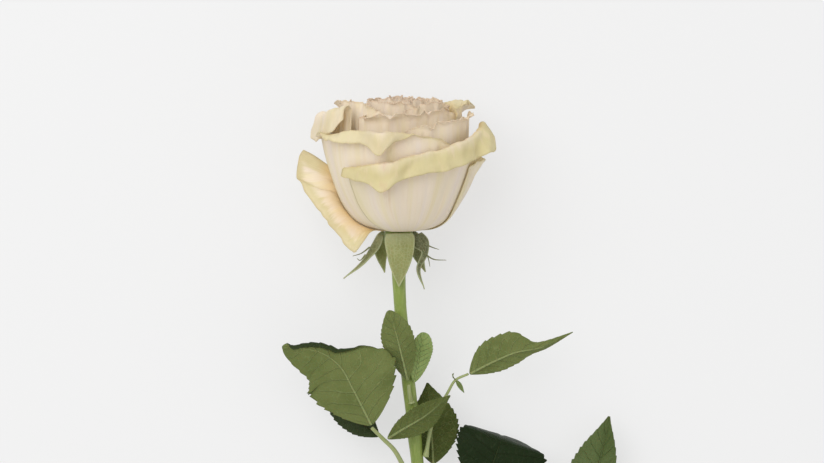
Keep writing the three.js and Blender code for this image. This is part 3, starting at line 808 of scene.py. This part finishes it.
SEPALS = {
    "front": dict(
        midrib=[(0.4, -8.8, 0.4), (0.6, -10.6, -8), (0.4, -9, -16.5), (0.2, -6.4, -24.8)],
        face=(0, -1, 0.1), left=7.2, right=6.9, fold=(-16, -5), widest=0.1, base=0.85, point=1.05,
        tone=0.95,
    ),
    "right": dict(
        midrib=[(8.7, -3.3, -0.9), (12.4, -4, -8.5), (9.4, -4.2, -17), (12, -5, -26)], face=(0.5, -1, 0.1),
        left=4.6, right=4.4, fold=(-30, -30), widest=0.14, base=0.7, waist=(0.55, 0.55, 0.16, 0.36),
        tone=0.12,
        threads=[
            [(12, -5, -5), (15, -5.6, -6.4), (18.6, -6, -7.6)],
            [(11.8, -5, -9.5), (16, -6, -12), (22, -6.4, -12.4)],
            [(11, -5, -7.5), (13.4, -5.8, -11), (14.4, -6.2, -15.5)],
        ],
    ),
    "left": dict(
        midrib=[(-8.4, -3.2, -0.9), (-12.4, -4.2, -8), (-17, -4.6, -14), (-25.2, -5, -21)],
        face=(-0.6, -0.8, 0.4), left=2.8, right=2.8, fold=(-30, -35), widest=0.2, base=0.6,
        waist=(0.35, 0.35, 0.2, 0.5), tone=0.5,
        threads=[
            [(-13, -4.6, -6.5), (-17, -5.4, -9.4), (-21, -5.8, -10.6)],
            [(-15, -4.8, -10), (-17.6, -5.6, -12.6), (-19, -6, -11.6)],
        ],
    ),
    "back_left": dict(
        midrib=[(-5.4, 6.2, -0.9), (-8.6, 8, -7), (-8, 7.6, -13), (-6.6, 6.4, -20)], face=(-0.5, 1, 0.1),
        left=4.6, right=4.6, fold=(-20, -10), widest=0.14, base=0.7, tone=1,
    ),
    "back_right": dict(
        midrib=[(5.4, 6.2, -0.9), (8.6, 8.4, -7), (9.6, 9.4, -13), (12.6, 10.4, -20)], face=(0.5, 1, 0.1),
        left=4.6, right=4.6, fold=(-20, -10), widest=0.14, base=0.7, tone=0.4,
    ),
}
STALKS = {
    "left": dict(
        beside=(-117, 145), route=[(-1.5, -101, 27.5), (-7, -95.2, 29.2), (-12.1, -90, 31.2)],
        radii=(1.4, 0.9),
    ),
    "top": dict(beside=(-79, 85), route=[(5.2, -74, 28.6), (4.9, -70.4, 29.4)], radii=(1.1, 0.8)),
    "right": dict(
        beside=(-104, 20),
        route=[(16, -88, 22.5), (22.8, -74.4, 26), (26.4, -68.4, 28), (32.4, -65.4, 29.2)],
        radii=(1.1, 0.6),
    ),
    "shade": dict(
        beside=(-134, 10), route=[(17.6, -122, 17.8), (17.4, -114, 17.3), (16.7, -108.8, 16.7)],
        radii=(1.3, 1),
    ),
    "low": dict(
        beside=(-152, 0),
        route=[(26, -136, 15.8), (38, -125.6, 15.5), (60, -128.5, 13.5), (82, -134.8, 12.4)],
        radii=(1.5, 0.8),
    ),
}
HEM_ROLL = 0.8
LEAF_GRID, BUD_GRID, SEPAL_GRID, THREAD_GRID = (40, 120), (12, 24), (20, 60), (8, 24)
BUD_WIDTH = 3  # a blade narrower than this is a bud, with no teeth
TEETH = 15


def shape_blade(name, blade, grid, thickness, to_place, teeth=0, tooth_depth=0.0):
    """A leaflet or sepal in its place, with its fields; to_place turns table millimetres to metres."""
    piece, u, v = new_grid(name, *grid)
    midrib, direction = curve_through(blade["midrib"], v)
    side = unit(np.cross(direction, unit(np.array(blade["face"], float))))
    out = np.cross(side, direction)
    widest = blade["widest"]
    grow = np.sin(np.clip(v / widest, 0, 1) * math.pi / 2) ** 0.8
    narrow = np.cos(np.clip((v - widest) / (1 - widest), 0, 1) * math.pi / 2) ** blade.get("point", 1.15)
    base = blade.get("base", 0.04)
    outline = np.where(v < widest, base + (1 - base) * grow, 0.04 + 0.96 * narrow)
    half = outline * np.where(u < 0, blade["left"], blade["right"])
    if "waist" in blade:
        left_waist, right_waist, start, end = blade["waist"]
        half = half * (1 - np.where(u < 0, left_waist, right_waist) * ease(v, start, end))
    if teeth:
        saw = (v * teeth) % 1
        half = half * (1 + tooth_depth * (saw - 0.5) * ease(v, 0.04, 0.2))
    width = reach = np.abs(u) * half
    folds = blade["fold"] * 2  # one pair does for both halves
    left, right = (mixed(*pair, ease(v, 0.3, 0.7)) for pair in (folds[:2], folds[2:4]))
    fold = np.radians(np.where(u < 0, left, right))
    # the blade leaves its midrib in a small gutter and waves a little towards its edge
    edge_wave = 0.06 * half * waves(v * 3 + np.sign(u), len(name)) * u * u * min(1, blade["left"] / 6)
    gutter = 0.5 * np.exp(-((reach / 1.2) ** 2)) * min(1, blade["left"] / 6)
    # a hem on the left half rolls over towards the lower side
    hem = blade.get("hem", 0) * (u < 0) * ease(v, 0.42, 0.6) * ease(v, 1.0, 0.9)
    turned = np.maximum(0, reach - (half - hem))
    rolling = np.minimum(turned, math.pi * HEM_ROLL)
    reach = np.minimum(reach, half - hem) + HEM_ROLL * np.sin(rolling / HEM_ROLL) - (turned - rolling)
    lift = HEM_ROLL * (1 - np.cos(rolling / HEM_ROLL))
    rise = reach * np.sin(fold) + edge_wave - gutter - lift
    points = midrib + side * (np.sign(u) * reach * np.cos(fold))[:, None] + out * rise[:, None]
    set_points(piece, to_place(points))
    tone, top_tone = blade["tone"], blade.get("top_tone", blade["tone"])
    set_fields(piece, across=u, along=v, tone=tone, top_tone=top_tone, reach=width, edge=half - width)
    thicken(piece, thickness)
    smooth(piece)
    return piece


def thread_radius(share):
    return 0.42 - 0.3 * share


def leaf_paint(settings):
    paint = Paint("leaf_skin", Subsurface_Weight=0.08, Subsurface_Scale=0.001, Specular_IOR_Level=0.1)
    along, side, reach = paint.field("along"), paint.field("across"), paint.field("reach")
    under, tone, top_tone = paint.field("inside"), paint.field("tone"), paint.field("top_tone")
    # painted light and shade: each face is mixed from its shaded and its lit green by how lit its leaflet is
    # painted
    top = paint.mix(top_tone, settings.dark_top, settings.bright_top)
    below = paint.mix(tone, settings.dark_under, settings.bright_under)
    blotch = paint.noise((90, 90, 90), 3)
    grain = paint.noise((900, 900, 900), 2)
    bend = (blotch - 0.5) * 0.05
    lateral = ((along - side.size() * 0.16 + bend) * 9).part() - 0.5
    lateral_vein = lateral.size().band(0.075, 0.0) * side.size().band(1.0, 0.55)
    midrib = (reach - (1 - along) * 0.35).band(0.35, 0.05) * along.band(1.0, 0.35)
    net = paint.cells((420, 420, 420)).band(0.09, 0.0)
    # veins show more on upper faces that are painted as lit
    vein_amount = (lateral_vein * 0.24 + net * 0.14 + midrib * 0.55) * (0.08 + top_tone * 0.3 + under * 0.8)
    colour_now = paint.layers(
        paint.mix(under, top, below),
        (blotch.band(0.35, 0.7) * 0.5, (0.6, 0.66, 0.5), "MULTIPLY"),
        (vein_amount, settings.vein),
    )
    rough = 0.36 + under * 0.26 + (grain - 0.5) * 0.12
    relief = (midrib * 1.5 + lateral_vein * 0.8 + net * 0.25) * (under * 2 - 1) + grain * 0.12 + blotch * 0.4
    return paint.finish(colour_now, rough, relief, relief=0.0006, strength=0.8)


def sepal_paint(settings):
    paint = Paint("sepal_skin", Subsurface_Weight=0.08, Subsurface_Scale=0.001)
    along, tone, edge = paint.field("along"), paint.field("tone"), paint.field("edge")
    blotch = paint.noise((160, 160, 160), 3)
    hair = paint.noise((1500, 1500, 400), 2)
    # painted shade: a darkened copy of the sepal green; each sepal's share of light mixes it towards the lit
    # sepal green, so sepals in shade are painted darker
    shaded_green = tuple(c * 0.32 for c in settings.sepal_green)
    specks = paint.cells((650, 650, 320))
    ribs = paint.noise((38, 1.5, 1), 2, uv=True)
    colour_now = paint.layers(
        shaded_green,
        (tone, settings.sepal_green),
        (along.band(0.25, 0.0) * tone * 0.55, settings.sepal_edge),
        (edge.band(0.9, 0.1) * 0.6, settings.sepal_edge),
        (blotch.band(0.4, 0.8) * 0.3, (0.5, 0.55, 0.35), "MULTIPLY"),
        (specks.band(0.12, 0.0) * 0.22, settings.sepal_edge),
        (ribs.band(0.52, 0.7) * 0.35, settings.sepal_edge),
    )
    return paint.finish(colour_now, 0.55 + (hair - 0.5) * 0.2, hair + blotch, relief=0.0002, strength=0.6)


class ROSE_OT_sepals(bpy.types.Operator):
    """Make the five sepals under the flower"""

    bl_idname = "rose.sepals"
    bl_label = "Sepals"

    def execute(self, context):
        settings = context.scene.rose_flower
        skin = sepal_paint(settings)
        for name, blade in SEPALS.items():
            piece = shape_blade(f"{name}_sepal", blade, SEPAL_GRID, settings.sepal_thickness, beside_flower)
            parts = [piece]
            for n, route in enumerate(blade.get("threads", ())):
                thread = tube(f"thread_{n}", route, thread_radius, *THREAD_GRID, beside_flower)
                set_fields(thread, tone=blade["tone"], edge=1)
                parts.append(thread)
            join(parts, piece.name)
            hand_over(piece, "sepal", f"sepal_{name}", skin)
        return {"FINISHED"}


class ROSE_OT_leaflets(bpy.types.Operator):
    """Make every leaflet of the five leaves"""

    bl_idname = "rose.leaflets"
    bl_label = "Leaflets"

    def execute(self, context):
        settings = context.scene.rose_leaf
        skin = leaf_paint(settings)
        for name, blade in LEAFLETS.items():
            grid, teeth = (BUD_GRID, 0) if blade["left"] < BUD_WIDTH else (LEAF_GRID, TEETH)
            sizes = (settings.thickness, beside_rose, teeth, settings.tooth)
            piece = shape_blade(f"{name}_leaflet", blade, grid, *sizes)
            hand_over(piece, "leaf", f"leaf_{name}", skin)
        return {"FINISHED"}


# ---- stem, hip, prickles and stalks ----
STEM_ROUTE = [
    (0, -9, 29.9), (0.6, -27, 28), (2.2, -50, 25.6), (4.8, -70, 23.6),
    (8.8, -106, 20), (13.5, -160, 15), (18, -240, 9), (21, -338, 4),
]
STEM_RADII = (2.9, 3.6)
HIP_OUTLINE = [(0.9, 8.4), (4, 3.4), (6.2, 0.5), (6.6, -1.2), (6.9, -4), (5.6, -9), (3.3, -15)]
HIP_BLEND = 2  # millimetres over which the hip becomes the stem
STEM_SAMPLES = 400
STEM_GRID, STALK_GRID, PRICKLE_GRID = (28, 520), (16, 90), (14, 14)
CUT_SLANT = 0.9
PRICKLES = [(0.4, 200), (0.5, 60), (0.6, 300), (0.68, 130), (0.78, 20), (0.88, 240)]
PRICKLE_LENGTH, PRICKLE_RADIUS, PRICKLE_LEAN, PRICKLE_SINK = 6, 1.6, 0.45, 0.8
PRICKLE_STRETCH, PRICKLE_SQUEEZE = 1.9, 0.6  # of the radius, along the stem and across it
STALK_SWELL, STALK_SWELL_LENGTH, STALK_SLIM = 0.5, 0.06, 0.92
JOINT_GAP = 0.1


def stem_radius(share):
    return mixed(*STEM_RADII, share)


def on_stem(y, side, distance):
    """A place beside the stem, off its skin by a distance, on the side at an angle round it."""
    shares = np.linspace(0, 1, STEM_SAMPLES)
    places, _ = curve_through(STEM_ROUTE, shares)
    nearest = int(np.argmin(np.abs(places[:, 1] - y)))
    out = np.array([math.cos(math.radians(side)), 0, math.sin(math.radians(side))])
    return places[nearest] + out * (stem_radius(shares[nearest]) + distance)


def green_paint(name, young, old, stem):
    paint = Paint(name, Subsurface_Weight=0.06, Subsurface_Scale=0.002)
    along, cut, spike = paint.field("along"), paint.field("cut"), paint.field("spike")
    lines = paint.noise((700, 26, 700), 3)
    blotch = paint.noise((70, 45, 70), 3)
    specks = paint.cells((520, 200, 520))
    colour_now = paint.layers(
        young,
        (along.band(0.15, 0.9), old),
        (lines.band(0.5, 0.75) * 0.4, stem.streak),
        (blotch.band(0.45, 0.8) * 0.4, (0.6, 0.62, 0.4), "MULTIPLY"),
        (specks.band(0.05, 0.0) * 0.2, stem.streak),
        (spike, stem.prickle),
        (cut, stem.pith),
    )
    rough = 0.42 + (blotch - 0.5) * 0.2
    return paint.finish(colour_now, rough, lines + specks.band(0.06, 0) * 0.3, relief=0.0003, strength=0.5)


def make_prickle(name, share, turn):
    """A hooked prickle on the stem, wide along it and thin across."""
    piece, u, up = new_grid(name, *PRICKLE_GRID)
    angle = math.pi * (u + 1)
    place, direction = (values[0] for values in curve_through(STEM_ROUTE, np.array([share])))
    across_stem = unit(np.cross([0, 0, 1], direction))
    raised = np.cross(direction, across_stem)
    turned = math.radians(turn)
    side = across_stem * math.cos(turned) + raised * math.sin(turned)
    thin = np.cross(side, direction)
    height = up * PRICKLE_LENGTH
    radius = PRICKLE_RADIUS * (1 - up) ** 1.4
    foot = place + side * (STEM_RADII[0] - PRICKLE_SINK)
    lean = PRICKLE_LEAN * height * height / PRICKLE_LENGTH
    points = (
        foot
        + side * height[:, None]
        + direction * (np.cos(angle) * radius * PRICKLE_STRETCH + lean)[:, None]
        + thin * (np.sin(angle) * radius * PRICKLE_SQUEEZE)[:, None]
    )
    set_points(piece, beside_rose(points))
    set_fields(piece, along=share, cut=0, spike=ease(up, 0.15, 0.9))
    weld(piece, fill=True)
    smooth(piece)
    return piece


class ROSE_OT_stem(bpy.types.Operator):
    """Make the stem with its hip, its prickles and its slanting cut"""

    bl_idname = "rose.stem"
    bl_label = "Stem"

    def execute(self, context):
        settings = context.scene.rose_stem
        skin = green_paint("stem_skin", settings.green, settings.old_green, settings)
        hip_radii = [r for r, _ in HIP_OUTLINE]
        route = np.array([HIP_PLACE / MM + FLOWER_AXIS * z for _, z in HIP_OUTLINE] + STEM_ROUTE[1:])
        steps = np.concatenate([[0], np.cumsum(np.linalg.norm(np.diff(route, axis=0), axis=1))])
        stem_from = steps[len(hip_radii)] + HIP_BLEND
        knots = np.array([*steps[: len(hip_radii)], stem_from, steps[-1]]) / steps[-1]
        values = [*hip_radii, *STEM_RADII]

        def radius_at(share):
            swell = 0.12 * np.sin(share * 90) + 0.08 * np.sin(share * 47 + 1)
            return np.interp(share, knots, values) + swell * (share > 0.12)

        piece = tube("stem", route, radius_at, *STEM_GRID, beside_rose, CUT_SLANT)
        set_fields(piece, spike=0)
        prickles = [make_prickle(f"prickle_{n}", *prickle) for n, prickle in enumerate(PRICKLES)]
        piece = join([piece, *prickles], "rose_stem")
        hand_over(piece, "stem", "stem", skin)
        return {"FINISHED"}


class ROSE_OT_stalks(bpy.types.Operator):
    """Make the stalks that carry the leaflets"""

    bl_idname = "rose.stalks"
    bl_label = "Leaf stalks"

    def execute(self, context):
        green = context.scene.rose_leaf.stalk_green
        skin = green_paint("stalk_skin", green, green, context.scene.rose_stem)
        for name, stalk in STALKS.items():
            thick, thin = stalk["radii"]
            foot = on_stem(*stalk["beside"], thick + JOINT_GAP)

            def radius_at(share, thick=thick, thin=thin):
                swell = STALK_SWELL * np.exp(-((share / STALK_SWELL_LENGTH) ** 2))
                return mixed(thick, thin, share) * (1 + swell) * STALK_SLIM

            piece = tube(f"{name}_stalk", [foot, *stalk["route"]], radius_at, *STALK_GRID, beside_rose)
            set_fields(piece, spike=0, cut=0)
            hand_over(piece, "stalk", f"leaf_{name}_stalk", skin)
        return {"FINISHED"}


# ---- floor, light and camera ----
VIEW_CENTRE = (6.4, 0)  # what the camera looks down on, in the tables' millimetres
WHITE = (1, 1, 1, 1)
FLOOR_SIZE = 12  # this and the lights' places are metres
TARGET_HEIGHT = 0.03
CLIP = (0.01, 20)
SOFT_BOX_PLACE, SOFT_BOX_SIZE = (-0.5, 0.5, 1.2), 1.1
FILL_PLACE, FILL_SIZE = (0.9, -0.5, 1.0), 1.2


def area_light(name, place, size, power, target):
    """A square lamp at a height above the table, beside the target, that shines on it."""
    across_floor, beyond, height = place
    place = Vector((target[0] + across_floor, target[1] + beyond, height))
    bpy.ops.object.light_add(type="AREA", location=place)
    light = bpy.context.object
    light.name = name
    light.data.shape = "SQUARE"
    light.data.size = size
    light.data.energy = power
    light.rotation_euler = (target - place).to_track_quat("-Z", "Y").to_euler()


class ROSE_OT_stage(bpy.types.Operator):
    """Make the floor, the soft studio light and the camera that looks down"""

    bl_idname = "rose.stage"
    bl_label = "Stage"

    def execute(self, context):
        settings = context.scene.rose_stage
        bpy.ops.mesh.primitive_plane_add(size=FLOOR_SIZE, location=(0, 0, 0))
        floor = context.object
        floor.name = "floor"
        paint = Paint("floor_paint", Roughness=0.9, Specular_IOR_Level=0.1, Emission_Strength=settings.glow)
        paint.shader.inputs["Base Color"].default_value = (*settings.floor, 1)
        paint.shader.inputs["Emission Color"].default_value = WHITE
        floor.data.materials.append(paint.material)

        world = bpy.data.worlds.new("studio")
        context.scene.world = world
        world.use_nodes = True
        background = world.node_tree.nodes["Background"]
        background.inputs["Color"].default_value = WHITE
        background.inputs["Strength"].default_value = settings.sky

        centre = ORIGIN + np.array([*VIEW_CENTRE, 0]) * MM
        target = Vector((centre[0], centre[1], TARGET_HEIGHT))
        area_light("soft_box", SOFT_BOX_PLACE, SOFT_BOX_SIZE, settings.window, target)
        area_light("fill", FILL_PLACE, FILL_SIZE, settings.fill, target)

        bpy.ops.object.camera_add(location=(centre[0], centre[1], settings.camera_height), rotation=(0, 0, 0))
        camera = context.object
        camera.name = "camera"
        camera.data.lens = settings.lens
        camera.data.clip_start, camera.data.clip_end = CLIP
        context.scene.camera = camera
        context.scene.view_settings.view_transform = "Standard"
        return {"FINISHED"}


class ROSE_PT_sidebar(bpy.types.Panel):
    """Everything the rose is made from"""

    bl_label = "Rose"
    bl_idname = "ROSE_PT_sidebar"
    bl_space_type = "VIEW_3D"
    bl_region_type = "UI"
    bl_category = "Rose"

    def draw(self, context):
        for group, kind in SETTINGS.items():
            for name in kind.__annotations__:
                self.layout.prop(getattr(context.scene, group), name)
        for operator in OPERATORS:
            self.layout.operator(operator.bl_idname)


SETTINGS = {
    "rose_flower": RoseFlowerSettings,
    "rose_leaf": RoseLeafSettings,
    "rose_stem": RoseStemSettings,
    "rose_stage": RoseStageSettings,
}
OPERATORS = (ROSE_OT_petals, ROSE_OT_sepals, ROSE_OT_leaflets, ROSE_OT_stem, ROSE_OT_stalks, ROSE_OT_stage)


def register():
    for cls in (*SETTINGS.values(), *OPERATORS, ROSE_PT_sidebar):
        bpy.utils.register_class(cls)
    for name, cls in SETTINGS.items():
        setattr(bpy.types.Scene, name, bpy.props.PointerProperty(type=cls))


def unregister():
    for name in SETTINGS:
        delattr(bpy.types.Scene, name)
    for cls in reversed((*SETTINGS.values(), *OPERATORS, ROSE_PT_sidebar)):
        bpy.utils.unregister_class(cls)


def main():
    register()
    bpy.ops.rose.stage()
    bpy.ops.rose.petals()
    bpy.ops.rose.sepals()
    bpy.ops.rose.leaflets()
    bpy.ops.rose.stem()
    bpy.ops.rose.stalks()


if __name__ == "__main__":
    main()
